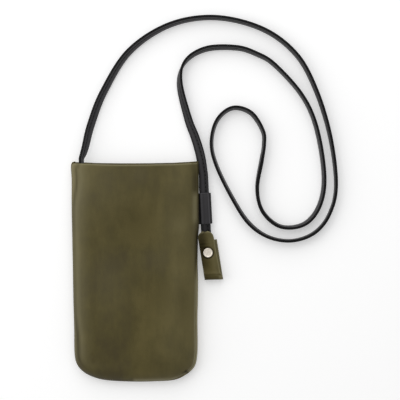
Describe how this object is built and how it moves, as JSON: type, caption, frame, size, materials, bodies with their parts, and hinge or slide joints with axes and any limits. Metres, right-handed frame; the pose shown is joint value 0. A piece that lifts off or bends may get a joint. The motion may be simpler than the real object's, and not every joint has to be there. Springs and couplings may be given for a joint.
{
  "type": "leather phone pouch on a long strap",
  "caption": "Slim olive leather phone pouch, open at one end, on a long narrow black strap that runs through a side loop to a folded tab with a press stud.",
  "frame": {"origin": "centre of the pouch's back face, which the part lies on", "axes": "+Y from the bottom of the pouch towards its mouth, +Z from the back towards the front, +X towards the side with the loop"},
  "size_m": [0.2309, 0.3167, 0.015],
  "materials": {
    "olive_leather": "soft grained olive leather, low sheen",
    "strap_leather": "black leather with turned edges, slight sheen",
    "lining_cotton": "plain woven cotton",
    "olive_thread": "waxed thread",
    "black_thread": "waxed thread",
    "cap_metal": "pale nickel, worn satin",
    "stud_metal": "nickel plated",
    "spring_steel": "bare spring wire"
  },
  "bodies": {
    "pouch": {"front_panel": "olive_leather", "back_panel": "olive_leather", "side_seam_thread": "olive_thread", "front_facing": "olive_leather", "back_facing": "olive_leather", "front_lining": "lining_cotton", "back_lining": "lining_cotton", "facing_thread": "olive_thread", "side_loop": "strap_leather", "loop_thread": "olive_thread", "strap_root": "strap_leather", "anchor_thread": "black_thread", "strap": "strap_leather"},
    "strap_end": {"strap_tail": "strap_leather", "tab_back_leaf": "olive_leather", "tab_fold": "olive_leather", "snap_stud": "stud_metal", "snap_eyelet": "stud_metal"},
    "tab_flap": {"tab_front_leaf": "olive_leather", "snap_cap": "cap_metal", "snap_socket": "stud_metal", "snap_spring": "spring_steel"}
  },
  "joints": [
    {"name": "strap_adjust", "type": "slide", "parent": "pouch", "child": "strap_end", "axis": [0.0523, -0.9986, 0], "range_m": [-0.0065, 0.04], "deforming": ["strap"]},
    {"name": "tab_flap", "type": "hinge", "parent": "strap_end", "child": "tab_flap", "pos_m": [0.06901, -0.00439, 0.0048], "axis": [0.9842, 0.1771, 0], "range_deg": [0, 165], "deforming": ["tab_fold", "snap_spring"]}
  ]
}
